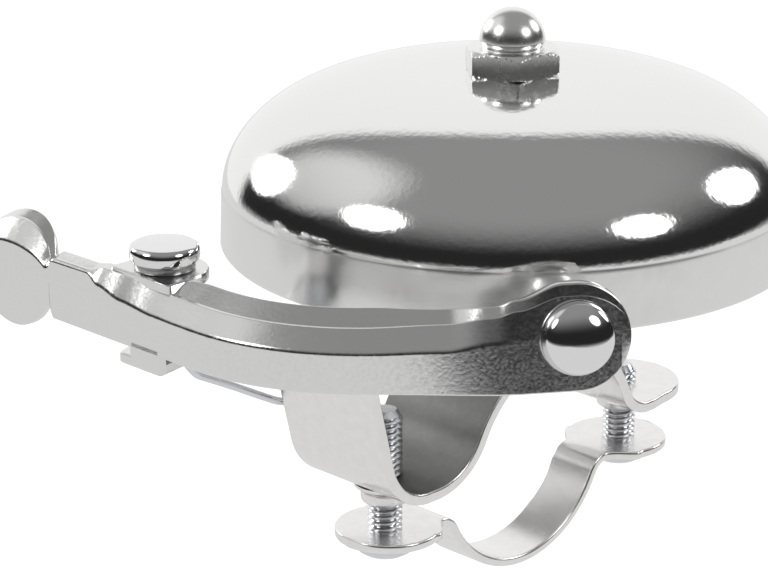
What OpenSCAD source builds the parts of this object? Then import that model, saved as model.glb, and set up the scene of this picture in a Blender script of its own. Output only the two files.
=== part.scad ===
// Bicycle bell with a side lever: a struck gong on a handlebar clamp.
// Origin: centre of the handlebar. X runs along the bar, Z is up, the gong's axis.

/* [Gong] */
// Diameter of the gong across its rim
gong_d = 65; // [60:0.5:70]
// Height of the gong from rim to crown
gong_h = 19.4; // [17:0.1:23]
// Height of the straight skirt below the shoulder
skirt_h = 6.6; // [6:0.1:11]
// How much narrower the skirt is at the shoulder, on the radius
skirt_draft = 0.3; // [0:0.1:1.2]
// Thickness of the gong's brass sheet
gong_t = 1.2; // [0.8:0.1:1.6]
// Height of the rim above the handlebar's centre
rim_z = 25; // [24:0.5:30]

/* [Handlebar clamp] */
// Diameter of the handlebar
bar_d = 25.4; // [22.2:0.1:26]
// Width of the bracket along the bar
bracket_w = 15; // [12:0.5:18]
// Thickness of the bracket's steel
bracket_t = 1.3; // [1.2:0.1:1.8]
// Distance between the two clamp screws
screw_span = 39.6; // [39:0.2:44]
// Length of the screw on the gong post's far side, under the head
left_len = 15; // [12:1:18]
// Length of the other screw, under the head
right_len = 10; // [8:1:12]
// Width of the strap's band
band_w = 6.4; // [5:0.2:9]
// Thickness of the strap's steel
strap_t = 1; // [0.8:0.1:1.4]
// Gap between the bracket's lower ear and the strap's ears
ear_gap = 5.1; // [4:0.1:6]

/* [Lever] */
// Height of the lever's web
web_h = 4.3; // [3.5:0.1:6]
// Thickness of the lever's steel
lever_t = 1; // [0.8:0.1:1.6]
// Radius of the lever's bend in plan, at its outer face
lever_r = 24; // [20:1:30]
// Angle through which the lever bends round the gong
lever_bend = 47; // [40:1:56]
// Length of the straight arm past the bend
arm_run = 13.6; // [10:0.2:18]
// Diameter of the thumb pad
pad_d = 12.8; // [10:0.2:16]
// Diameter of the round end that carries the hammer
eye_d = 10.8; // [10:0.2:13]
// Diameter of the hammer's polished head
head_d = 7.6; // [6:0.1:9]

/* [Pivot] */
// Distance of the pivot pin along the bar from the gong's axis
pivot_x = -7.5; // [-10:0.5:-5]
// Distance of the pivot pin from the gong's axis, across the bar
pivot_y = -44.6; // [-48:0.1:-42]
// Diameter of the pivot pin's shank
pin_d = 4; // [3:0.1:4.4]
// Diameter of the bracket's eye round the pin
eye_barrel_d = 7; // [6.8:0.1:7.4]
// Wire of the return spring
wire_d = 0.9; // [0.7:0.1:1]

/* [Hidden] */
$fn = 96;
e = 0.05;                          // overlap that makes a union or a cut clean
run_gap = 0.05;                    // radial gap of a running fit

bar_r = bar_d / 2;
screw_y = screw_span / 2;
gong_r = gong_d / 2;
crown_z = rim_z + gong_h;          // top of the gong
shoulder_r = gong_r - skirt_draft;
half_w = bracket_w / 2;

// M6 post and its cap nut
post_r = 4.5;
post_foot_r = 3;
stud_r = 3;
stud_top = crown_z + 4.6;
nut_af = 9.7;
nut_hex_h = 2.8;
nut_dome_r = 3.65;
washer_t = 0.8;

// Bracket section: the saddle hugs the bar, each end turns out into an ear
right_z = 1.6;                     // underside of the right ear
left_z = 1;                        // underside of the cup on the left
saddle_out = bar_r + bracket_t;
right_end = 22;                    // angle where the saddle ends on the right
right_r = (bar_r * sin(right_end) - right_z) / (1 - sin(right_end));
right_cy = (bar_r + right_r) * cos(right_end);
left_end = 153;                    // angle where the saddle ends on the left
left_r = (bar_r * sin(left_end) - left_z) / (1 - sin(left_end));
left_cy = (bar_r + left_r) * cos(left_end);
cup_r = 7;                         // outer radius of the cup's far side
cup_cy = -20.3;
cup_cz = left_z + cup_r;
wall_lean = 14;                    // how far the cup's outer wall leans out
wall_top = 19;
wall_y = cup_cy - cup_r * cos(wall_lean);
wall_z = cup_cz - cup_r * sin(wall_lean);
ear_r = 7;
collar_r = 2.75;
collar_h = 1.9;

// M4 screws
screw_r = 2;
screw_hole_r = screw_r + run_gap;
head_r = 3.5;
head_h = 2.2;
strap_top = left_z - ear_gap;      // top of the strap's ears
strap_low = strap_top - strap_t;
strap_ear_r = 6;
strap_ear_y = screw_y - 0.5;
strap_bend_r = 2;
strap_bend_z = strap_low - strap_bend_r;
strap_bend_y = sqrt(pow(bar_r + strap_t + strap_bend_r, 2) - pow(strap_bend_z, 2));
strap_end = atan2(-strap_bend_z, strap_bend_y);

// Lever: web from lever_z up, then a sloping facet and a flange that leans in
lever_z = rim_z - 2.2;
facet = 2;
flange_in = 5;
flange_z = web_h + facet + 1.2;
run_y = -49.6;                     // outer face of the lever's straight part
bend_x = 2;                        // where the bend begins
bend_cy = run_y + lever_r;
block_from = -13;                  // where the pivot's block meets the neck
block_to = -2;
neck_from = -21.5;
neck_h = 6.6;
fade = 5;                          // length over which the flange fades at the eye
eye_turn = 8;                      // extra turn of the flat round end
eye_run = 8;
eye_z = lever_z + eye_d / 2;
pad_x = -27;
pad_z = 4.1;                       // pad's centre above the lever's lower edge
lug_r = 4.6;
lug_low_r = 3.6;
lug_t = 1.2;
lug_top = 30.3;
lug_low = 20.6;
barrel_low = 25.4;
barrel_top = lug_top - lug_t - 0.2;
bush_r = pin_d / 2 + 0.75;
pin_head_r = 3.7;
pin_head_h = 1.8;
ring_t = 0.9;

// Return spring, as the middle line of its wire seen from the pivot's axis
spring_r = 3;
spring_z = 22.35;
spring_pitch = 0.92;
spring_turns = 2.5;
turn_steps = 14;
coil = [for (i = [0 : spring_turns * turn_steps]) let (a = 90 - 360 * i / turn_steps)
    [pivot_x + spring_r * cos(a), pivot_y + spring_r * sin(a),
     spring_z + spring_pitch * i / turn_steps]];
fixed_leg = [[-6.6, -26.1, 10], [-7.7, -26.2, 10.1], [-8.15, -26.9, 10.4], [-8.2, -28.4, 10.9],
             [-8.8, -30.7, 12.1], [-9.4, -32.9, 13.3], [-9.9, -35.6, 14.7], [-10.4, -38, 15.9],
             [-10.6, -39.2, 17.4], [-10.6, -40, 20], [-10.4, -40.7, 21.6], [-9.6, -41.4, 22.2]];
moving_leg = [[pivot_x - 2, pivot_y - 3.08, spring_z + 2.3], [pivot_x - 6.5, pivot_y - 3.45, spring_z + 2.3]];

// points of an arc about (y, z), every five degrees or so
function arc(y, z, r, from, to) = let (n = ceil(abs(to - from) / 5))
    [for (i = [0 : n]) let (a = from + (to - from) * i / n) [y + r * cos(a), z + r * sin(a)]];
function mirrored(points) = [for (i = [len(points) - 1 : -1 : 0]) [-points[i][0], points[i][1]]];

module strip(points, width) {
    // a bent strip, drawn as its (y, z) outline and centred on X
    translate([-width / 2, 0, 0]) rotate([90, 0, 90]) linear_extrude(width) polygon(points);
}

module tube(rings) {
    // a closed skin over rings that all have the same number of points
    sides = len(rings[0]);
    last = len(rings) - 1;
    skin = [for (i = [0 : last - 1], j = [0 : sides - 1]) let (k = (j + 1) % sides)
        [i * sides + j, i * sides + k, (i + 1) * sides + k, (i + 1) * sides + j]];
    near = [for (j = [sides - 1 : -1 : 0]) j];
    far = [for (j = [0 : sides - 1]) last * sides + j];
    polyhedron([for (ring = rings) each ring], concat(skin, [near, far]));
}

module along_lever(from) {
    // moves what stands on the X axis to a place past the lever's bend
    translate([bend_x, bend_cy, 0]) rotate([0, 0, lever_bend]) translate([from, -lever_r, 0])
        children();
}

module at_eye(from) {
    // moves what stands on the X axis onto the flat round end's plate
    along_lever(arm_run) rotate([0, 0, eye_turn]) translate([from, 0, 0]) children();
}

module gong() {
    steps = 20;
    crown_h = gong_h - skirt_h;
    outer = [for (i = [0 : steps]) let (a = 90 * i / steps)
        [shoulder_r * pow(cos(a), 0.58), skirt_h + crown_h * pow(sin(a), 1.1)]];
    inner = [for (i = [steps : -1 : 0]) let (a = 90 * i / steps)
        [(shoulder_r - gong_t) * pow(cos(a), 0.58), skirt_h + (crown_h - gong_t) * pow(sin(a), 1.1)]];
    color("lightgray") translate([0, 0, rim_z]) difference() {
        rotate_extrude() polygon(concat([[gong_r - gong_t, 0], [gong_r, 0]], outer, inner));
        translate([0, 0, gong_h - 5]) cylinder(r = stud_r + run_gap, h = 10);
    }
}

module cap_nut() {
    color("silver") translate([0, 0, crown_z]) difference() {
        union() {
            intersection() {
                rotate(20.7) cylinder(r = nut_af / 2 / cos(30), h = nut_hex_h, $fn = 6);
                translate([0, 0, -1.9]) cylinder(r1 = nut_af / 2 + 2, r2 = nut_af / 2, h = nut_hex_h + 2);
            }
            cylinder(r = nut_dome_r - 0.25, h = nut_hex_h + 0.5);
            translate([0, 0, nut_hex_h + 0.3]) cylinder(r = nut_dome_r, h = 0.5);
            translate([0, 0, nut_hex_h + 0.8]) intersection() {
                sphere(r = nut_dome_r);
                cylinder(r = nut_dome_r + 1, h = nut_dome_r + 1);
            }
        }
        translate([0, 0, -1]) cylinder(r = stud_r + run_gap - 0.04, h = 1 + 4.8);
    }
}

module seat_washer() {
    color("gray") translate([0, 0, crown_z - gong_t - washer_t]) difference() {
        cylinder(r = 6, h = washer_t - 0.08);
        translate([0, 0, -1]) cylinder(r = stud_r + run_gap, h = washer_t + 2);
    }
}

module gong_post() {
    shoulder = crown_z - gong_t - washer_t;
    color("silver") {
        translate([0, 0, saddle_out]) cylinder(r = post_r, h = shoulder - saddle_out);
        translate([0, 0, bar_r + 0.3]) cylinder(r = post_foot_r, h = bracket_t);
        translate([0, 0, shoulder - e]) cylinder(r = stud_r, h = stud_top - shoulder + e);
    }
}

module collar(y, z) {
    translate([0, y, z - collar_h]) cylinder(r = collar_r, h = collar_h + bracket_t / 2);
}

module bracket() {
    wall_end = [wall_y - (wall_top - wall_z) * tan(wall_lean), wall_top];
    lower = concat([[screw_y, right_z]], arc(right_cy, right_z + right_r, right_r, 270, 180 + right_end),
                   arc(0, 0, bar_r - e, right_end, left_end),
                   arc(left_cy, left_z + left_r, left_r, 180 + left_end, 270),
                   arc(cup_cy, cup_cz, cup_r, 270, 180 + wall_lean), [wall_end]);
    upper = concat([wall_end + [bracket_t, 0]],
                   arc(cup_cy, cup_cz, cup_r - bracket_t, 180 + wall_lean, 270),
                   arc(left_cy, left_z + left_r, left_r - bracket_t, 270, 180 + left_end),
                   arc(0, 0, saddle_out, left_end, right_end),
                   arc(right_cy, right_z + right_r, right_r - bracket_t, 180 + right_end, 270),
                   [[screw_y, right_z + bracket_t]]);
    color("silver") difference() {
        union() {
            strip(concat(lower, upper), bracket_w);
            translate([0, screw_y, right_z]) intersection() {
                cylinder(r = ear_r, h = bracket_t);
                translate([-half_w, -1, 0]) cube([bracket_w, ear_r + 2, bracket_t]);
            }
            collar(-screw_y, left_z);
            collar(screw_y, right_z);
            pivot_arm();
        }
        for (y = [-screw_y, screw_y])
            translate([0, y, left_z - collar_h - 1]) cylinder(r = screw_hole_r, h = 12);
        translate([0, 0, bar_r - 1]) cylinder(r = post_foot_r + 0.02, h = bracket_t + 2);
        rotate([0, 90, 0]) cylinder(r = bar_r, h = 2 * bracket_w, center = true);
        translate([pivot_x, pivot_y, lug_low]) cylinder(r = bush_r + 0.02, h = 20);
    }
}

module pivot_arm() {
    // vertical plate from the cup's outer wall to the eye that holds the pin
    translate([-half_w, 0, 0]) rotate([90, 0, 90]) linear_extrude(bracket_t)
        polygon([[-29.6, 18.6], [-33, 21.8], [-37, 23.6], [-39.9, 25.6], [-41.2, 28.2],
                 [pivot_y + 2.9, 28.2], [pivot_y + 2.9, 25.5], [-40.6, 25.5], [-39.2, 21.8],
                 [-36, 18.2], [-31.5, 14.6], [-28, 12.6]]);
    translate([pivot_x, pivot_y, barrel_low])
        cylinder(d = eye_barrel_d, h = barrel_top - barrel_low);
}

module strap() {
    // outlines run from the left ear along the underside and back along the top
    low_half = concat([[-strap_ear_y, strap_low]],
                      arc(-strap_bend_y, strap_bend_z, strap_bend_r, 90, strap_end),
                      arc(0, 0, bar_r + strap_t, 180 + strap_end, 270));
    top_half = concat([[strap_ear_y, strap_top]],
                      arc(strap_bend_y, strap_bend_z, strap_bend_r + strap_t, 90, 180 - strap_end),
                      arc(0, 0, bar_r - e, 360 - strap_end, 270));
    color("gainsboro") difference() {
        union() {
            strip(concat(low_half, mirrored(low_half), top_half, mirrored(top_half)), band_w);
            for (s = [-1, 1]) {
                translate([0, s * strap_ear_y, strap_low]) cylinder(r = strap_ear_r, h = strap_t);
                translate([0, 0, strap_low]) linear_extrude(strap_t)
                    polygon([[-band_w / 2, s * strap_bend_y], [band_w / 2, s * strap_bend_y],
                             [strap_ear_r, s * (strap_ear_y - 2)], [strap_ear_r, s * strap_ear_y],
                             [-strap_ear_r, s * strap_ear_y], [-strap_ear_r, s * (strap_ear_y - 2)]]);
            }
        }
        for (s = [-1, 1])
            translate([0, s * screw_y, strap_low - 1]) cylinder(r = screw_r + 0.25, h = strap_t + 2);
        rotate([0, 90, 0]) cylinder(r = bar_r, h = 2 * band_w, center = true);
    }
}

module clamp_screw(y, len) {
    translate([0, y, strap_low]) {
        cylinder(r = screw_r - 0.02, h = len);
        difference() {
            translate([0, 0, -head_h]) intersection() {
                cylinder(r = head_r, h = head_h);
                translate([0, 0, 4.4]) sphere(r = 5.6);
            }
            for (a = [0, 90]) rotate([0, 0, a])
                translate([-2.1, -0.35, -head_h - 1]) cube([4.2, 0.7, 2.4]);
        }
    }
}

module clamp_screw_left() { color("lightsteelblue") clamp_screw(-screw_y, left_len); }
module clamp_screw_right() { color("lightsteelblue") clamp_screw(screw_y, right_len); }

module run(from, to) {
    // extrudes a section drawn as (inwards, up) along the lever's straight part
    translate([to, run_y, 0]) rotate([90, 0, -90]) linear_extrude(to - from)
        mirror([1, 0]) children();
}

function lever_ring(section, angle, dist) =
    [for (q = section)
        [bend_x + lever_r * sin(angle) + dist * cos(angle) - q[0] * sin(angle),
         bend_cy - lever_r * cos(angle) + dist * sin(angle) + q[0] * cos(angle), q[1]]];

module lever_blade() {
    // the section runs straight, round the bend, then melts into the flat end
    section = [[0, 0], [0, web_h], [facet, web_h + facet], [flange_in, flange_z],
               [flange_in + 0.37 * lever_t, flange_z - 0.93 * lever_t],
               [facet + 0.56 * lever_t, web_h + facet - 0.85 * lever_t],
               [lever_t, web_h - 0.41 * lever_t], [lever_t, 0]];
    turn = lever_bend + eye_turn;
    flat = [[0, 0], [0, 5.4], [0, 7.4], [0, 9], [lever_t, 9], [lever_t, 7.4], [lever_t, 5.4], [lever_t, 0]];
    end_run = arm_run * cos(eye_turn) - lever_r * sin(eye_turn) + 1.5;
    end_in = lever_r - lever_r * cos(eye_turn) - arm_run * sin(eye_turn);
    end = [for (q = flat) [q[0] + end_in, q[1]]];
    tube(concat([lever_ring(section, 0, block_to - e - bend_x)],
                [for (i = [0 : 10]) lever_ring(section, lever_bend * i / 10, 0)],
                [lever_ring(section, lever_bend, arm_run - fade)],
                [lever_ring(end, turn, end_run)]));
}

module lever_plates() {
    lever_blade();
    at_eye(0) translate([0, lever_t, 0]) rotate([90, 0, 0]) linear_extrude(lever_t)
        polygon([[1.4, 0], [1.4, 9], [eye_run - 1.5, eye_d - 0.1], [eye_run - 0.4, eye_d],
                 [eye_run - 0.4, 0]]);
    at_eye(eye_run - 0.5) translate([0, lever_t, eye_d / 2]) rotate([90, 0, 0])
        cylinder(d = eye_d, h = lever_t);
    run(block_from, block_to)
        polygon([[0, 0], [0, 4.6], [1, 7.5], [2.4, 7.5], [2.4, 6.4], [1.7, 6.4], [1, 4.3], [1, 0]]);
    run(neck_from, block_from)
        polygon([[0, 0], [0, neck_h], [1.8, neck_h + 0.6], [2.1, neck_h - 0.3], [1, neck_h - 0.7], [1, 0]]);
    intersection() {
        run(pad_x - 8, pad_x + 8)
            polygon([[0, -3], [0, 7.4], [1.8, 9.3], [3.6, 9.9], [3.8, 8.9], [2.2, 8.3], [1, 6.9], [1, -3]]);
        translate([pad_x, run_y + 5, pad_z]) rotate([90, 0, 0]) cylinder(d = pad_d, h = 10);
    }
}

module lever() {
    color("silver") difference() {
        union() {
            translate([0, 0, lever_z]) lever_plates();
            translate([pivot_x, pivot_y, lug_top - lug_t]) cylinder(r = lug_r, h = lug_t);
            translate([pivot_x - lug_r, run_y + lever_t, lug_top - lug_t])
                cube([2 * lug_r, pivot_y - run_y - lever_t, lug_t]);
            translate([pivot_x, pivot_y, lug_low]) cylinder(r = lug_low_r, h = lug_t);
            translate([pivot_x, run_y, lug_low]) cube([9, pivot_y - run_y - 1, lug_t]);
            translate([pivot_x, run_y, lug_low]) cube([9, lever_t, lever_z - lug_low + 1]);
        }
        at_eye(eye_run) translate([0, 5, eye_z]) rotate([90, 0, 0]) cylinder(r = 2, h = 10);
        translate([pivot_x, pivot_y, lug_low + lug_t])
            cylinder(r = 3.85, h = lug_top - lug_low - 2 * lug_t);
        translate([pivot_x, pivot_y, lug_low - 1]) cylinder(r = pin_d / 2 + 0.02, h = 20);
    }
}

module hammer_head() {
    color("silver") at_eye(eye_run) translate([0, 0, eye_z]) rotate([90, 0, 0]) {
        intersection() {
            translate([0, 0, -1.2]) sphere(r = 4);
            cylinder(d = head_d, h = 4);
        }
        translate([0, 0, -lever_t - 1.5]) cylinder(r = 1.97, h = lever_t + 1.5 + e);
    }
}

module striker() {
    color("silver") at_eye(eye_run) translate([0, lever_t, eye_z]) rotate([-90, 0, 0]) difference() {
        union() {
            cylinder(r = 3.6, h = 3);
            translate([0, 0, 3]) sphere(r = 3.6);
        }
        translate([0, 0, -5]) cylinder(r = 5, h = 5);
        translate([0, 0, -1]) cylinder(r = 2, h = 2.6);
    }
}

module pivot_pin() {
    top = lug_top + ring_t;
    color("silver") translate([pivot_x, pivot_y, 0]) {
        translate([0, 0, top]) cylinder(r = pin_head_r, h = pin_head_h);
        translate([0, 0, lug_low - e]) cylinder(r = pin_d / 2, h = top - lug_low + 2 * e);
        translate([0, 0, lug_low - 0.3]) cylinder(r = 2.6, h = 0.3);
    }
}

module pin_washer() {
    color("gray") translate([pivot_x, pivot_y, lug_top]) difference() {
        cylinder(r = 3.2, h = ring_t);
        translate([0, 0, -1]) cylinder(r = pin_d / 2 + run_gap, h = ring_t + 2);
    }
}

module pivot_bush() {
    color("goldenrod") translate([pivot_x, pivot_y, barrel_low - 0.1]) difference() {
        cylinder(r = bush_r, h = barrel_top - barrel_low + 0.2);
        translate([0, 0, -1]) cylinder(r = pin_d / 2 + run_gap, h = 10);
    }
}

function unit(v) = v / norm(v);
function wire_ring(path, i, sides) =
    let (d = unit(path[min(i + 1, len(path) - 1)] - path[max(i - 1, 0)]),
         u = unit(cross(d, [0, 0, 1])),
         v = cross(u, d))
    [for (j = [0 : sides - 1]) let (a = 360 * j / sides)
        path[i] + wire_d / 2 * (cos(a) * u + sin(a) * v)];

module wire(path) {
    tube([for (i = [0 : len(path) - 1]) wire_ring(path, i, 8)]);
}

module return_spring() {
    color("dimgray") wire(concat(fixed_leg, coil, moving_leg));
}

gong();
cap_nut();
seat_washer();
gong_post();
bracket();
strap();
clamp_screw_left();
clamp_screw_right();
lever();
hammer_head();
striker();
pivot_pin();
pin_washer();
pivot_bush();
return_spring();
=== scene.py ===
# Bicycle bell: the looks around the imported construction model.
# Lengths in the piece dictionaries are millimetres; meshes are built in metres.
import math

import bmesh
import bpy
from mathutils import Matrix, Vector


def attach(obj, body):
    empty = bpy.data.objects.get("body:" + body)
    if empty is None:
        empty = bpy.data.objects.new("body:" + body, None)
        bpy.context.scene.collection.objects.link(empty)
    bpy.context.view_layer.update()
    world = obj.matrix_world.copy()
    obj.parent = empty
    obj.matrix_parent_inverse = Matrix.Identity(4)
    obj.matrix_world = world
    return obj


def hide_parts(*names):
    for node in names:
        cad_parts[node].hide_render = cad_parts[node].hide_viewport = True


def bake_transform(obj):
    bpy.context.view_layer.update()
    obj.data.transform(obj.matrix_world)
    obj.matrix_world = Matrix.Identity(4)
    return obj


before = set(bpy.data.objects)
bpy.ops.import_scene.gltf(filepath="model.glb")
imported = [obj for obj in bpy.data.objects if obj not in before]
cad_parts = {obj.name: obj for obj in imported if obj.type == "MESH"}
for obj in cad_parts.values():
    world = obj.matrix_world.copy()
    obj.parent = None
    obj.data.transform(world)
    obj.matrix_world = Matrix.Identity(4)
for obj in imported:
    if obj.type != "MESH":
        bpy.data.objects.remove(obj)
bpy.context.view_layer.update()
print("frame loaded")

mm = 0.001
shapes = {}


def meshObject(name, points, faces, smooth=True, angle=35):
    mesh = bpy.data.meshes.new(name)
    mesh.from_pydata([(x * mm, y * mm, z * mm) for x, y, z in points], [], faces)
    mesh.validate()
    work = bmesh.new()
    work.from_mesh(mesh)
    bmesh.ops.recalc_face_normals(work, faces=work.faces)
    work.to_mesh(mesh)
    work.free()
    mesh.update()
    if smooth:
        mesh.shade_smooth()
        mesh.set_sharp_from_angle(angle=math.radians(angle))
    obj = bpy.data.objects.new(name, mesh)
    bpy.context.scene.collection.objects.link(obj)
    return obj


def skin(rings, closed=False):
    # quads between rings of equal length, with flat caps unless the rings close on themselves
    n = len(rings[0])
    points = [p for ring in rings for p in ring]
    faces = []
    count = len(rings)
    for i in range(count if closed else count - 1):
        a, b = i * n, ((i + 1) % count) * n
        for j in range(n):
            k = (j + 1) % n
            faces.append((a + j, a + k, b + k, b + j))
    if not closed:
        faces.append(tuple(range(n - 1, -1, -1)))
        faces.append(tuple((count - 1) * n + j for j in range(n)))
    return points, faces


def lathe(name, profile, centre=(0, 0), segments=96, angle=35, place=None, radius=None):
    # profile is a closed loop or an open line of (r, z); open lines must start and end at r = 0
    rings = []
    for r, z in profile:
        ring = []
        for j in range(segments):
            t = 2 * math.pi * j / segments
            rr = radius(r, z, t) if radius else r
            p = Vector((rr * math.cos(t), rr * math.sin(t), z))
            if place:
                p = place(p)
                ring.append(tuple(p))
            else:
                ring.append((centre[0] + p.x, centre[1] + p.y, z))
        rings.append(ring)
    loop = profile[0][0] > 0.001 and profile[-1][0] > 0.001
    points, faces = skin(rings, closed=loop)
    return meshObject(name, points, faces, angle=angle)


def rounded(points, cut, steps=3, closed=False):
    # replaces each corner by a short curve that starts at most cut before it
    out = []
    n = len(points)
    for i, p in enumerate(points):
        if not closed and i in (0, n - 1):
            out.append(p)
            continue
        a, b = points[i - 1], points[(i + 1) % n]
        p, a, b = Vector(p), Vector(a), Vector(b)
        c = cut[i] if isinstance(cut, (list, tuple)) else cut
        c = min(c, (a - p).length * 0.48, (b - p).length * 0.48)
        s, e = p + (a - p).normalized() * c, p + (b - p).normalized() * c
        for k in range(steps + 1):
            t = k / steps
            out.append(tuple(s * (1 - t) ** 2 + p * 2 * t * (1 - t) + e * t * t))
    return out


def arc(cy, cz, r, a, b, step=4):
    n = max(2, int(abs(b - a) / step))
    return [(cy + r * math.cos(math.radians(a + (b - a) * i / n)),
             cz + r * math.sin(math.radians(a + (b - a) * i / n))) for i in range(n + 1)]


def dedupe(line):
    out = [line[0]]
    for p in line[1:]:
        if math.dist(p, out[-1]) > 0.02:
            out.append(p)
    return out


def resample(line, step):
    out = [line[0]]
    for a, b in zip(line, line[1:]):
        n = max(1, int(math.dist(a, b) / step))
        for i in range(1, n + 1):
            out.append((a[0] + (b[0] - a[0]) * i / n, a[1] + (b[1] - a[1]) * i / n))
    return out


def stripMesh(name, line, thick, halfWidth, edge=0.28):
    # a pressed strip: line is the (y, z) path of its middle, halfWidth(y, z, s) its half width
    rings = []
    s = 0
    for i, p in enumerate(line):
        a, b = line[max(i - 1, 0)], line[min(i + 1, len(line) - 1)]
        t = Vector((b[0] - a[0], b[1] - a[1])).normalized()
        n = Vector((-t.y, t.x))
        if i:
            s += math.dist(p, line[i - 1])
        w = max(halfWidth(p[0], p[1], s), 0.05)
        h = thick / 2
        c = min(edge, w * 0.9)
        loop = rounded([(-w, -h), (w, -h), (w, h), (-w, h)], c, 3, closed=True)
        rings.append([(x, p[0] + n.x * y, p[1] + n.y * y) for x, y in loop])
    points, faces = skin(rings)
    return meshObject(name, points, faces, angle=50)


def join(name, objects):
    # several closed shells read as one piece
    points, faces = [], []
    sharp = []
    for o in objects:
        base = len(points)
        points += [tuple(v.co / mm) for v in o.data.vertices]
        faces += [tuple(base + i for i in p.vertices) for p in o.data.polygons]
        bpy.data.objects.remove(o)
    return meshObject(name, points, faces, angle=38)


# ---------- materials ----------
def noiseGroup():
    # fine pressed-metal grain: gives a height for Bump and a mask that lightens worn places
    g = bpy.data.node_groups.new("metalGrain", "ShaderNodeTree")
    for n, d in (("Scale", 1.0), ("Coarse", 0.5), ("Speckle", 0.0)):
        g.interface.new_socket(name=n, in_out="INPUT", socket_type="NodeSocketFloat").default_value = d
    for n in ("Height", "Mask"):
        g.interface.new_socket(name=n, in_out="OUTPUT", socket_type="NodeSocketFloat")
    gi, go = g.nodes.new("NodeGroupInput"), g.nodes.new("NodeGroupOutput")
    tc = g.nodes.new("ShaderNodeTexCoord")
    sc = g.nodes.new("ShaderNodeVectorMath"); sc.operation = "SCALE"
    g.links.new(tc.outputs["Object"], sc.inputs[0])
    g.links.new(gi.outputs["Scale"], sc.inputs["Scale"])
    fine = g.nodes.new("ShaderNodeTexNoise"); fine.inputs["Scale"].default_value = 1.0; fine.inputs["Detail"].default_value = 3
    broad = g.nodes.new("ShaderNodeTexNoise"); broad.inputs["Scale"].default_value = 0.22; broad.inputs["Detail"].default_value = 2
    mix = g.nodes.new("ShaderNodeMix"); mix.data_type = "FLOAT"
    for n in (fine, broad):
        g.links.new(sc.outputs[0], n.inputs["Vector"])
    g.links.new(gi.outputs["Coarse"], mix.inputs["Factor"])
    g.links.new(fine.outputs["Fac"], mix.inputs[2])
    g.links.new(broad.outputs["Fac"], mix.inputs[3])
    g.links.new(mix.outputs[0], go.inputs["Height"])
    vor = g.nodes.new("ShaderNodeTexNoise"); vor.inputs["Scale"].default_value = 0.6; vor.inputs["Detail"].default_value = 6
    g.links.new(sc.outputs[0], vor.inputs["Vector"])
    m = g.nodes.new("ShaderNodeMath"); m.operation = "MULTIPLY"
    g.links.new(vor.outputs["Fac"], m.inputs[0])
    g.links.new(gi.outputs["Speckle"], m.inputs[1])
    g.links.new(m.outputs[0], go.inputs["Mask"])
    return g


grain = noiseGroup()


def metal(name, color, rough, scale=2500, coarse=0.3, bump=0.1, speckle=0.0, depth=0.00003, varied=0.1):
    m = bpy.data.materials.new(name)
    m.use_nodes = True
    nt = m.node_tree
    bsdf = nt.nodes["Principled BSDF"]
    bsdf.inputs["Metallic"].default_value = 1
    g = nt.nodes.new("ShaderNodeGroup"); g.node_tree = grain
    g.inputs["Scale"].default_value = scale
    g.inputs["Coarse"].default_value = coarse
    g.inputs["Speckle"].default_value = speckle
    b = nt.nodes.new("ShaderNodeBump")
    b.inputs["Strength"].default_value = bump
    b.inputs["Distance"].default_value = depth
    nt.links.new(g.outputs["Height"], b.inputs["Height"])
    nt.links.new(b.outputs["Normal"], bsdf.inputs["Normal"])
    mr = nt.nodes.new("ShaderNodeMapRange")
    mr.inputs["From Min"].default_value = 0.3
    mr.inputs["From Max"].default_value = 0.7
    mr.inputs["To Min"].default_value = rough * (1 - varied)
    mr.inputs["To Max"].default_value = rough * (1 + varied)
    nt.links.new(g.outputs["Height"], mr.inputs["Value"])
    nt.links.new(mr.outputs["Result"], bsdf.inputs["Roughness"])
    mixc = nt.nodes.new("ShaderNodeMix"); mixc.data_type = "RGBA"
    mixc.inputs[6].default_value = (*color, 1)
    mixc.inputs[7].default_value = (*[c * 0.55 for c in color], 1)
    nt.links.new(g.outputs["Mask"], mixc.inputs["Factor"])
    nt.links.new(mixc.outputs[2], bsdf.inputs["Base Color"])
    return m


gongMetal = metal("gongChrome", (0.86, 0.86, 0.85), 0.09, scale=1500, coarse=0.2, bump=0.6)
skirtMetal = metal("gongSkirt", (0.84, 0.84, 0.83), 0.2, scale=900, coarse=0.5, bump=0.25, varied=0.2)
nutMetal = metal("nutNickel", (0.9, 0.9, 0.88), 0.26, scale=1200, bump=0.2)
nickel = metal("brightNickel", (0.83, 0.83, 0.83), 0.07, scale=900, bump=0.1)
leverMetal = metal("leverChrome", (0.8, 0.8, 0.79), 0.2, scale=2600, coarse=0.12, bump=0.45, depth=0.00003, varied=0.3)
pressed = metal("pressedSteel", (0.93, 0.92, 0.91), 0.24, scale=1500, coarse=0.3, bump=0.35, speckle=0.25)
# painted shade: a darker grey base colour for the faces inside the bracket's cup, standing in for the shadow in that
# hollow
cupShadeMetal = metal("pressedCupShade", (0.33, 0.33, 0.32), 0.42, scale=1800, coarse=0.2, bump=0.6, speckle=0.5)
zinc = metal("zincSteel", (0.78, 0.79, 0.82), 0.2, scale=2200, bump=0.25, speckle=0.2)
dark = metal("plainSteel", (0.42, 0.42, 0.42), 0.3, scale=2000, bump=0.3)
bronze = metal("bronze", (0.68, 0.47, 0.26), 0.3, scale=2000, bump=0.2)
print("materials made")


def dress(obj, material, body, slotName, *nodes):
    obj.data.materials.append(material)
    crisp = obj.modifiers.new("crisp", "WEIGHTED_NORMAL")
    crisp.keep_sharp = True
    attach(obj, body)
    if nodes:
        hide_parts(*nodes)
    return obj


# ---------- gong ----------
gongSizes = {"radius": 32.5, "skirt": 6.6, "draft": 0.3, "height": 19.4, "thick": 1.2, "rim": 25.0, "hole": 3.05}


def crown(radius, rise, base, steps=64):
    out = []
    for i in range(steps + 1):
        a = math.pi / 2 * i / steps
        r, z = radius * math.cos(a) ** 0.58, base + rise * math.sin(a) ** 1.1
        if r > gongSizes["hole"]:
            out.append((r, z))
    return out


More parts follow.
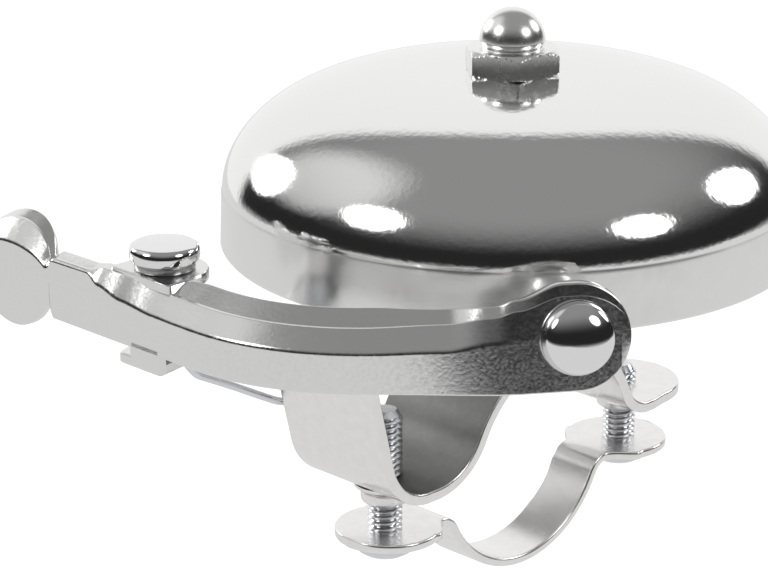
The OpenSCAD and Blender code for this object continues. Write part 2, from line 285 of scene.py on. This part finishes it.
g = gongSizes
skirtTop = g["rim"] + g["skirt"]
rise = g["height"] - g["skirt"]
outer = crown(g["radius"] - g["draft"], rise, skirtTop)
inner = crown(g["radius"] - g["draft"] - g["thick"], rise - g["thick"], skirtTop)
rimLoop = [(g["radius"] - 1.0, g["rim"] + 0.05), (g["radius"] - 0.65, g["rim"]), (g["radius"] - 0.25, g["rim"] + 0.04),
           (g["radius"], g["rim"] + 0.35), (g["radius"] - 0.1, g["rim"] + 3), (g["radius"] - 0.2, g["rim"] + 6.2)]
topLoop = [(g["hole"], outer[-1][1]), (g["hole"], inner[-1][1])]
profile = rimLoop + outer + topLoop + inner[::-1] + [(g["radius"] - 1.3, g["rim"] + 0.4)]
gong = dress(lathe("gongShell", profile, segments=288, angle=30), gongMetal, "bell", "chrome_gong", "gong")
gong.data.materials.append(skirtMetal)
for face in gong.data.polygons:
    face.material_index = 1 if face.center.z < (skirtTop + 0.3) * mm else 0

# ---------- cap nut ----------
nutSizes = {"flats": 9.7, "hex": 2.8, "dome": 3.65, "seat": 44.4, "turn": 20.7}
n = nutSizes


def hexRadius(r, z, t):
    if r < 4.4:
        return r
    a = (math.degrees(t) - n["turn"]) % 60
    flat = n["flats"] / 2 / math.cos(math.radians(a - 30))
    top = n["seat"] + n["hex"]
    chamfer = n["flats"] / 2 - 0.05 + (top - z) * 1.5
    foot = n["flats"] / 2 + 0.1 + (z - n["seat"]) * 2.2
    return min(flat, chamfer, foot, r)


base, top = n["seat"], n["seat"] + n["hex"]
hexPart = [(0, base), (4.2, base)] + [(5.62, base + 2.8 * i / 24) for i in range(25)] + [(4.3, top), (3.5, top + 0.04), (3.42, top + 0.12), (3.42, top + 0.4), (3.55, top + 0.46)]
dome = [(n["dome"] * math.cos(math.radians(a)), top + 0.75 + n["dome"] * math.sin(math.radians(a))) for a in range(0, 90, 4)]
nut = lathe("capNut", hexPart + dome + [(0, top + 0.75 + n["dome"])], segments=240, angle=24, radius=hexRadius)
dress(nut, nutMetal, "bell", "nickel", "cap_nut")
print("gong and nut built")

# ---------- bracket ----------
bracketSizes = {"bar": 12.7, "thick": 1.3, "width": 15.0, "right": 1.6, "left": 1.0, "screw": 19.8, "cup": 7.0, "lean": 14}
b = bracketSizes
half = b["thick"] / 2


def saddleEnd(angle, z):
    s, c = math.sin(math.radians(angle)), math.cos(math.radians(angle))
    r = (b["bar"] * s - z) / (1 - s)
    return r, (b["bar"] + r) * c


rightR, rightY = saddleEnd(22, b["right"])
leftR, leftY = saddleEnd(153, b["left"])
cupY, cupZ = -20.3, b["left"] + b["cup"]
lean = math.radians(b["lean"])
line = [(b["screw"] + 7.0, b["right"] + half), (rightY, b["right"] + half)]
line = resample(line, 0.35)
line += arc(rightY, b["right"] + rightR, rightR - half, 270, 202)
line += arc(0, 0, b["bar"] + half, 22, 153)
line += arc(leftY, b["left"] + leftR, leftR - half, 333, 270)
line += arc(cupY, cupZ, b["cup"] - half, 270, 180 + b["lean"])
wallFoot = line[-1]
wallTop = (wallFoot[0] - (19 - wallFoot[1]) * math.tan(lean), 19.0)
line += resample([wallFoot, wallTop], 1.0)[1:]


def bracketWidth(y, z, s):
    d = y - b["screw"]
    if y > 0 and d > 0:
        return math.sqrt(max(7.0 ** 2 - d * d, 0)) if d > 0.0 else 7.5
    if y > 10:
        return 7.5 - 0.5 * max(0, min(1, (y - 17.5) / 2.3))
    return 7.5


body = stripMesh("bracketBody", dedupe(line), b["thick"], bracketWidth)


def collarMesh(name, y, z):
    return lathe(name, [(2.08, z - 1.9), (2.3, z - 1.9), (2.62, z - 1.75), (2.72, z - 1.5), (2.75, z - 0.8), (2.95, z - 0.3), (3.5, z + 0.05), (3.5, z + 0.4), (2.08, z + 0.4)], centre=(0, y), segments=64)


def prism(name, outline, x0, x1, edge=0.2):
    # a flat plate drawn as (y, z), between x0 and x1
    loop = rounded(outline, 0.4, 2, closed=True)
    cy = sum(p[0] for p in loop) / len(loop)
    cz = sum(p[1] for p in loop) / len(loop)
    rings = []
    for x, inset in ((x0, edge), (x0 + edge, 0), (x1 - edge, 0), (x1, edge)):
        k = 1 - inset / 8
        rings.append([(x, cy + (p[0] - cy) * k, cz + (p[1] - cz) * k) for p in loop])
    points, faces = skin(rings)
    return meshObject(name, points, faces)


armPlate = prism("armPlate", [(-29.6, 18.6), (-33, 21.8), (-37, 23.6), (-39.9, 25.6), (-41.2, 28.2), (-41.7, 28.2), (-41.7, 25.5), (-40.6, 25.5), (-39.2, 21.8), (-36, 18.2), (-31.5, 14.6), (-28, 12.6)], -7.5, -6.2)
pivot = (-7.5, -44.6)
barrel = lathe("pivotEye", [(2.77, 25.4), (3.3, 25.4), (3.5, 25.6), (3.5, 28.7), (3.3, 28.9), (2.77, 28.9)], centre=pivot, segments=72)
bracket = join("bracketPressing", [body, collarMesh("c1", -b["screw"], b["left"]), collarMesh("c2", b["screw"], b["right"]), armPlate, barrel])
dress(bracket, pressed, "bell", "pressed_steel", "bracket")
# faces that look into the bracket's cup, towards its middle, take the darker material: painted shade for the shadowed
# hollow
bracket.data.materials.append(cupShadeMetal)
for face in bracket.data.polygons:
    c = face.center / mm
    if c.y < -4 and 1.5 < c.z < 19.5 and face.normal.dot((Vector((0, -19.5, 14)) - c).normalized()) > 0.3 and abs(face.normal.x) < 0.3:
        face.material_index = 1
print("bracket built")

# ---------- strap ----------
strapSizes = {"bar": 12.7, "thick": 1.0, "band": 6.4, "low": -5.1, "ear": 6.0, "earY": 19.3, "bend": 2.0}
s = strapSizes
bz = s["low"] - s["bend"]
by = math.sqrt((s["bar"] + s["thick"] + s["bend"]) ** 2 - bz ** 2)
end = math.degrees(math.atan2(-bz, by))
halfLine = resample([(s["earY"] + s["ear"], s["low"] + 0.5), (by, s["low"] + 0.5)], 0.35)
halfLine += arc(by, bz, s["bend"] + 0.5, 90, 180 - end)
halfLine += arc(0, 0, s["bar"] + 0.5, 360 - end, 270)
fullLine = dedupe(halfLine + [(-y, z) for y, z in halfLine[::-1]])


def strapWidth(y, z, length):
    y = abs(y)
    if z > s["low"] - 0.2:
        d = y - s["earY"]
        disc = math.sqrt(max(s["ear"] ** 2 - d * d, 0)) if abs(d) < s["ear"] else 0
        k = max(0, min(1, (y - 13.6) / 3.6))
        taper = 3.2 + 2.7 * k * k * (3 - 2 * k)
        return disc if d > 0 else max(taper, 3.2) if y < 17.2 else max(disc, 5.7)
    return s["band"] / 2


strap = dress(stripMesh("strapBand", fullLine, s["thick"], strapWidth, edge=0.3), pressed, "clamp_strap", "pressed_steel", "strap")

# ---------- clamp screws ----------
screwSizes = {"radius": 1.95, "pitch": 0.7, "head": 3.5, "headHeight": 2.2, "low": -5.1}
c = screwSizes


def threadRadius(r, z, t):
    if abs(r - c["radius"]) > 0.01:
        return r
    u = ((z / c["pitch"] - t / (2 * math.pi)) % 1.0)
    tri = abs(u - 0.5) * 2
    return c["radius"] - 0.36 * min(1, max(0, (tri - 0.08) / 0.85))


def screwMesh(name, y, length):
    z0 = c["low"]
    n = int(length / 0.05)
    head = [(0, z0 - 2.2), (1.4, z0 - 2.2), (2.4, z0 - 2.0), (3.1, z0 - 1.55), (3.42, z0 - 1.0), (3.5, z0 - 0.45), (3.45, z0 - 0.08), (3.3, z0), (1.94, z0)]
    shank = [(c["radius"], z0 + 0.1 + (length - 0.7) * i / n) for i in range(n + 1)]
    tip = [(1.5, z0 + length - 0.3), (1.25, z0 + length), (0, z0 + length)]
    screw = lathe(name, head + shank + tip, centre=(0, y), segments=64, angle=50, radius=threadRadius)
    cutters = []
    for k in range(2):
        lo, hi = 0.3, 0.42
        corners = []
        for w, l, z in ((lo, 1.1, z0 - 0.55), (hi, 2.1, z0 - 2.4)):
            corners += [(-l, -w, z), (l, -w, z), (l, w, z), (-l, w, z)]
        if k:
            corners = [(-q, p, z) for p, q, z in corners]
        cutter = meshObject("cut", [(p, q + y, z) for p, q, z in corners],
                            [(0, 1, 2, 3), (4, 7, 6, 5), (0, 4, 5, 1), (1, 5, 6, 2), (2, 6, 7, 3), (3, 7, 4, 0)], smooth=False)
        cutters.append(cutter)
        mod = screw.modifiers.new("recess", "BOOLEAN")
        mod.operation, mod.solver, mod.object = "DIFFERENCE", "EXACT", cutter
    bpy.context.view_layer.update()
    cutMesh = bpy.data.meshes.new_from_object(screw.evaluated_get(bpy.context.evaluated_depsgraph_get()))
    screw.modifiers.clear()
    screw.data = cutMesh
    for cutter in cutters:
        bpy.data.objects.remove(cutter)
    return screw


dress(screwMesh("screwLeft", -b["screw"], 15), zinc, "left_screw", "zinc_steel", "clamp_screw_left")
dress(screwMesh("screwRight", b["screw"], 10), zinc, "right_screw", "zinc_steel", "clamp_screw_right")
print("clamp built")

# ---------- lever ----------
leverSizes = {"low": 22.8, "run": -49.6, "thick": 1.0, "bendX": 2.0, "radius": 24.0, "bend": 47.0, "arm": 13.6,
              "eyeTurn": 8.0, "eye": 5.4, "eyeRun": 7.5, "padX": -27.0, "padR": 6.4, "padZ": 4.1, "tilt": 10.0}
v = leverSizes
bendLength = v["radius"] * math.radians(v["bend"])
armStart = v["bendX"] + bendLength
foldAt = armStart + v["arm"]
eyeAt = foldAt + v["eyeRun"]


def headingAt(u):
    # angle of the path at distance u, where u is x on the straight part
    if u < v["bendX"]:
        return 0.0
    if u < armStart:
        return (u - v["bendX"]) / v["radius"]
    k = max(0, min(1, (u - foldAt + 2.5) / 5))
    return math.radians(v["bend"] + v["eyeTurn"] * k * k * (3 - 2 * k))


def ease(a, b, u):
    k = max(0, min(1, (u - a) / (b - a)))
    return k * k * (3 - 2 * k)


# stations: u, web height, facet in/up, flange in/top
stations = [(-21.5, 6.5, 0.35, 6.75, 1.9, 7.2), (-14.2, 6.6, 0.4, 6.8, 1.9, 7.25), (-12.6, 5.6, 1.1, 7.2, 2.4, 7.4),
            (-9.0, 4.75, 1.4, 7.1, 2.8, 7.5), (-4.0, 4.35, 1.8, 6.55, 3.8, 7.5), (0.0, 4.3, 2.0, 6.3, 4.9, 7.5),
            (armStart, 4.3, 2.0, 6.3, 5.0, 7.5), (foldAt - 6, 4.5, 1.7, 6.6, 3.4, 7.7), (foldAt - 1, 5.2, 0.6, 7.5, 1.2, 8.5),
            (foldAt + 1.5, 5.4, 0.25, 8.2, 0.5, 9.3)]


def stationAt(u):
    if u <= stations[0][0]:
        return stations[0][1:]
    for p, q in zip(stations, stations[1:]):
        if u <= q[0]:
            k = ease(p[0], q[0], u)
            return tuple(x + (y - x) * k for x, y in zip(p[1:], q[1:]))
    return stations[-1][1:]


def leverOutline(u):
    # outer face as (inwards, up) points from the lower edge to the top
    low = 0.0
    h, f, fz, g2, gz = stationAt(u)
    if u < -20.0:
        d = u - v["padX"]
        span = math.sqrt(max(v["padR"] ** 2 - d * d, 0.0)) if abs(d) < v["padR"] else 0.0
        k = ease(-20.0, -21.6, u)
        lowPad = v["padZ"] - span
        full = max(span / v["padR"], 0.03)
        top = v["padZ"] + span
        reach = 3.6 * full
        padShape = (lowPad, v["padZ"] + span * 0.46, 1.9 * full, v["padZ"] + span * 0.80, reach, v["padZ"] + span * 0.9)
        low = low + (min(lowPad, v["padZ"]) - low) * k if span > 0 else low
        if u < -21.6:
            return padShape
        flat = (low, h, f, fz, g2, gz)
        return tuple(x + (y - x) * k for x, y in zip(flat, padShape))
    if u > foldAt + 1.5:
        d = u - eyeAt
        rise = ease(foldAt + 1.5, eyeAt - 1.5, u)
        top = 9.3 + (2 * v["eye"] - 9.3) * rise
        if d > 0:
            span = math.sqrt(max(v["eye"] ** 2 - d * d, 0.0)) if d < v["eye"] else 0.0
            low, top = v["eye"] - span, v["eye"] + span
        mid = (top - low)
        return (low, low + mid * 0.58, 0.0 + 0.25 * (1 - rise), low + mid * 0.88, 0.5 * (1 - rise), top)
    return (low, h, f, fz, g2, gz)


def sectionLoop(u):
    low, h, f, fz, g2, gz = leverOutline(u)
    t = v["thick"]
    step = min(1.0, max(0.0, (g2 - f) / 3))
    line = [(0, low), (0, h), (f, fz), (f + 0.02 + 0.38 * step, fz + 0.02 - 0.16 * step), (g2, gz)]
    normals = []
    for p, q in zip(line, line[1:]):
        d = Vector((q[0] - p[0], q[1] - p[1]))
        d = d.normalized() if d.length > 1e-6 else Vector((0, 1))
        normals.append(Vector((d.y, -d.x)))
    inner = []
    for i, p in enumerate(line):
        a = normals[max(i - 1, 0)]
        bb = normals[min(i, len(normals) - 1)]
        m = (a + bb).normalized()
        inner.append((p[0] + m.x * t / max(m.dot(a), 0.5), p[1] + m.y * t / max(m.dot(a), 0.5)))
    loop = line + inner[::-1]
    cuts = [0.18, 0.3, 0.2, 0.12, 0.22, 0.22, 0.12, 0.2, 0.3, 0.18]
    return rounded(loop, cuts, 3, closed=True)


us = []
u = v["padX"] - v["padR"] + 0.01
while u < eyeAt + v["eye"] - 0.01:
    us.append(u)
    near = min(abs(u - (v["padX"] - v["padR"])), abs(u - (v["padX"] + v["padR"])), abs(u - (eyeAt + v["eye"])))
    u += 0.06 if near < 0.35 else 0.15 if near < 1.2 else 0.4
us.append(eyeAt + v["eye"] - 0.01)
rings = []
x, y, last = us[0], v["run"], us[0]
for u in us:
    a = headingAt((u + last) / 2)
    x, y = x + (u - last) * math.cos(a), y + (u - last) * math.sin(a)
    last = u
    a = headingAt(u)
    roll = math.radians(v["tilt"]) * ease(armStart - 4, foldAt + 2, u)
    ring = []
    for p, z in sectionLoop(u):
        pp = p + (z - v["eye"]) * math.sin(roll)
        ring.append((x - pp * math.sin(a), y + pp * math.cos(a), v["low"] + z))
    rings.append(ring)
    if abs(u - eyeAt) < 0.25:
        eyeFrame = (x, y, a)
blade = meshObject("leverBlade", *skin(rings), angle=60)


def plate(name, outline, z0, z1, hole=None, edge=0.18):
    loop = rounded(outline, 0.5, 3, closed=True)
    cx = sum(p[0] for p in loop) / len(loop)
    cy = sum(p[1] for p in loop) / len(loop)
    rings = []
    for z, inset in ((z0, edge), (z0 + edge, 0), (z1 - edge, 0), (z1, edge)):
        k = 1 - inset / 5
        rings.append([(cx + (p[0] - cx) * k, cy + (p[1] - cy) * k, z) for p in loop])
    points, faces = skin(rings)
    return meshObject(name, points, faces)


def lugOutline(r, left, right, from_):
    out = [(left, from_), (right, from_)]
    for i in range(25):
        a = math.radians(0 + 180 * i / 24)
        out.append((pivot[0] + r * math.cos(a), pivot[1] + r * math.sin(a)))
    return out


upperLug = plate("upperLug", lugOutline(4.6, -12.1, -2.9, -48.2), 29.1, 30.3)
lowerLug = plate("lowerLug", lugOutline(3.6, -9.5, -3.0, -49.5), 20.6, 21.8)
lowerTab = prism("lowerTab", [(-49.6, 20.7), (-48.6, 20.7), (-48.6, 23.8), (-49.6, 23.8)], -7.5, -3.0)
lever = dress(join("leverPressing", [blade, upperLug, lowerLug, lowerTab]), leverMetal, "lever_arm", "chrome_lever", "lever")

# ---------- hammer ----------
ex, ey, ea = eyeFrame
tilt = math.radians(v["tilt"])


def onEye(p):
    # local: z out of the plate, x along it, y down
    out = Vector((math.sin(ea) * math.cos(tilt), -math.cos(ea) * math.cos(tilt), math.sin(tilt)))
    along = Vector((math.cos(ea), math.sin(ea), 0))
    side = out.cross(along)
    centre = Vector((ex, ey, v["low"] + v["eye"]))
    return centre + along * p.x + side * p.y + out * p.z


headProfile = [(0, -2.4), (1.9, -2.4), (1.9, -0.05), (3.45, -0.05), (3.66, 0.06), (3.8, 0.35), (3.72, 0.75)]
headProfile += [(3.62 * math.cos(math.radians(a)), 0.9 + 1.75 * math.sin(math.radians(a))) for a in range(8, 90, 5)]
head = dress(lathe("hammerHead", headProfile + [(0, 2.65)], place=onEye, segments=96, angle=40), nickel, "lever_arm", "nickel", "hammer_head")
strikerProfile = [(0, -7.55)] + [(3.6 * math.sin(math.radians(a)), -4.0 - 3.6 * math.cos(math.radians(a))) for a in range(6, 91, 6)] + [(3.6, -1.3), (3.4, -1.02), (0, -1.02)]
dress(lathe("strikerNose", strikerProfile, place=onEye, segments=72), nickel, "lever_arm", "nickel", "striker")

# ---------- pivot pin, ring and spring ----------
pinProfile = [(0, 20.3), (2.2, 20.3), (2.55, 20.42), (2.55, 20.58), (1.98, 20.62), (1.98, 31.1), (3.3, 31.2), (3.6, 31.36), (3.7, 31.7), (3.68, 32.3), (3.56, 32.75), (3.3, 32.94), (3.0, 33.0), (0, 33.0)]
dress(lathe("pinHead", pinProfile, centre=pivot, segments=96, angle=40), nickel, "lever_arm", "nickel", "pivot_pin")
dress(lathe("pinRing", [(2.06, 30.32), (3.0, 30.32), (3.17, 30.45), (3.2, 30.7), (3.16, 31.0), (3.0, 31.16), (2.06, 31.16)], centre=pivot, segments=96), dark, "lever_arm", "dark_steel", "pin_washer")

springSizes = {"radius": 3.0, "wire": 0.9, "low": 22.35, "pitch": 0.92, "turns": 2.5}
w = springSizes
coil = []
for i in range(int(w["turns"] * 32) + 1):
    a = math.radians(90 - 360 * i / 32)
    coil.append(Vector((pivot[0] + w["radius"] * math.cos(a), pivot[1] + w["radius"] * math.sin(a), w["low"] + w["pitch"] * i / 32)))
leg = [(-6.6, -26.1, 10), (-7.7, -26.2, 10.1), (-8.15, -26.9, 10.4), (-8.2, -28.4, 10.9), (-8.8, -30.7, 12.1), (-9.4, -32.9, 13.3), (-9.9, -35.6, 14.7), (-10.4, -38, 15.9), (-10.6, -39.2, 17.4), (-10.6, -40, 20), (-10.4, -40.7, 21.6), (-9.6, -41.4, 22.2)]
path = [Vector(p) for p in rounded([Vector(p) for p in leg], 0.5, 3)] + coil + [Vector((-9.5, -47.68, 24.65)), Vector((-14.0, -48.05, 24.65))]
rings = []
for i, p in enumerate(path):
    d = (path[min(i + 1, len(path) - 1)] - path[max(i - 1, 0)]).normalized()
    uu = d.cross(Vector((0, 0, 1))).normalized()
    vv = uu.cross(d)
    rings.append([tuple(p + (uu * math.cos(q) + vv * math.sin(q)) * 0.44) for q in [2 * math.pi * k / 14 for k in range(14)]])
spring = meshObject("springWire", *skin(rings))
spring.data.materials.append(zinc)
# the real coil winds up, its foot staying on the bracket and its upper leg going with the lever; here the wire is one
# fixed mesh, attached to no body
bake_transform(spring)
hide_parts("return_spring")

for node, material in (("seat_washer", dark), ("gong_post", nickel), ("pivot_bush", bronze)):
    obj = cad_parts[node]
    obj.data.materials.clear()
    obj.data.materials.append(material)
print("lever, hammer and spring built")

# ---------- stage, light, camera ----------
floorMaterial = bpy.data.materials.new("floorWhite")
floorMaterial.use_nodes = True
fb = floorMaterial.node_tree.nodes["Principled BSDF"]
fb.inputs["Base Color"].default_value = (0.12, 0.12, 0.12, 1)
fb.inputs["Roughness"].default_value = 0.9
fb.inputs["Specular IOR Level"].default_value = 0
fb.inputs["Emission Color"].default_value = (1, 1, 1, 1)
# seen straight on the floor is the white sweep; in the metal it shows a little greyer
seen = floorMaterial.node_tree.nodes.new("ShaderNodeLightPath")
glow = floorMaterial.node_tree.nodes.new("ShaderNodeMapRange")
glow.inputs["To Min"].default_value = 0.66
glow.inputs["To Max"].default_value = 1.05
floorMaterial.node_tree.links.new(seen.outputs["Is Camera Ray"], glow.inputs["Value"])
floorMaterial.node_tree.links.new(glow.outputs["Result"], fb.inputs["Emission Strength"])
size, drop = 620, -75
floor = meshObject("floor", [(-size, -size, drop), (size, -size, drop), (size, size, drop), (-size, size, drop)], [(0, 1, 2, 3)], smooth=False)
floor.data.materials.append(floorMaterial)

world = bpy.data.worlds.new("studio")
bpy.context.scene.world = world
world.use_nodes = True
wt = world.node_tree
bg = wt.nodes["Background"]
tc = wt.nodes.new("ShaderNodeTexCoord")


def mathNode(op, a, b2=None, c2=None):
    m = wt.nodes.new("ShaderNodeMath")
    m.operation = op
    for i, val in enumerate((a, b2, c2)):
        if val is None:
            continue
        if isinstance(val, (int, float)):
            m.inputs[i].default_value = val
        else:
            wt.links.new(val, m.inputs[i])
    return m.outputs[0]


def dotWith(d):
    n2 = wt.nodes.new("ShaderNodeVectorMath")
    n2.operation = "DOT_PRODUCT"
    wt.links.new(tc.outputs["Generated"], n2.inputs[0])
    n2.inputs[1].default_value = d
    return n2.outputs["Value"]


def smooth(value, lo, hi, a=0.0, b2=1.0):
    m = wt.nodes.new("ShaderNodeMapRange")
    m.interpolation_type = "SMOOTHSTEP"
    for name, val in (("From Min", lo), ("From Max", hi), ("To Min", a), ("To Max", b2)):
        m.inputs[name].default_value = val
    wt.links.new(value, m.inputs["Value"])
    return m.outputs["Result"]


front = (0.7071, -0.7071, 0.0)
towards = smooth(dotWith(front), -0.73, -0.64)
above = smooth(dotWith((0, 0, 1)), -0.26, -0.06)
darkness = mathNode("MULTIPLY", towards, above)
deep = smooth(dotWith((0, 0, 1)), 0.2, 0.85, -0.93, -0.66)
level = mathNode("MULTIPLY_ADD", darkness, deep, 0.95)
lamps = [((-0.92, -0.16, 0.33), 0.972, 1.0, 7), ((-0.28, -0.76, 0.57), 0.972, 1.0, 7),
         ((0.82, 0.17, 0.53), 0.975, 1.0, 7), ((0.35, 0.81, 0.44), 0.972, 1.0, 7), ((-0.67, -0.36, 0.65), 0.86, 0.97, 0.45)]
for d, lo, hi, power in lamps:
    d = tuple(Vector(d).normalized())
    level = mathNode("ADD", level, smooth(dotWith(d), lo, hi, 0.0, power))
straight = wt.nodes.new("ShaderNodeLightPath").outputs["Is Camera Ray"]
level = mathNode("MAXIMUM", level, straight)
wt.links.new(level, bg.inputs["Strength"])
bg.inputs["Color"].default_value = (1, 1, 1, 1)

cameraSizes = {"azimuth": 45.0, "pitch": 18.94, "distance": 337.8, "lens": 140.6,
               "aside": 0.041874, "above": 0.016636}
k = cameraSizes
az, el = math.radians(k["azimuth"]), math.radians(k["pitch"])
right = Vector((math.cos(az), math.sin(az), 0))
forward = Vector((-math.sin(az) * math.cos(el), math.cos(az) * math.cos(el), -math.sin(el)))
upward = right.cross(forward)
# the rim's centre stands this far right of and above the middle of the view, as tangents
ray = forward + right * k["aside"] + upward * k["above"]
eye = Vector((0, 0, 25)) - ray.normalized() * k["distance"]
cam = bpy.data.objects.new("camera", bpy.data.cameras.new("camera"))
bpy.context.scene.collection.objects.link(cam)
cam.location = eye * mm
cam.rotation_mode = "QUATERNION"
cam.rotation_quaternion = forward.to_track_quat("-Z", "Y")
cam.data.lens = k["lens"]
cam.data.sensor_width = 36
cam.data.clip_start, cam.data.clip_end = 0.01, 20
bpy.context.scene.camera = cam
bpy.context.scene.view_settings.view_transform = "Standard"

print("stage set")
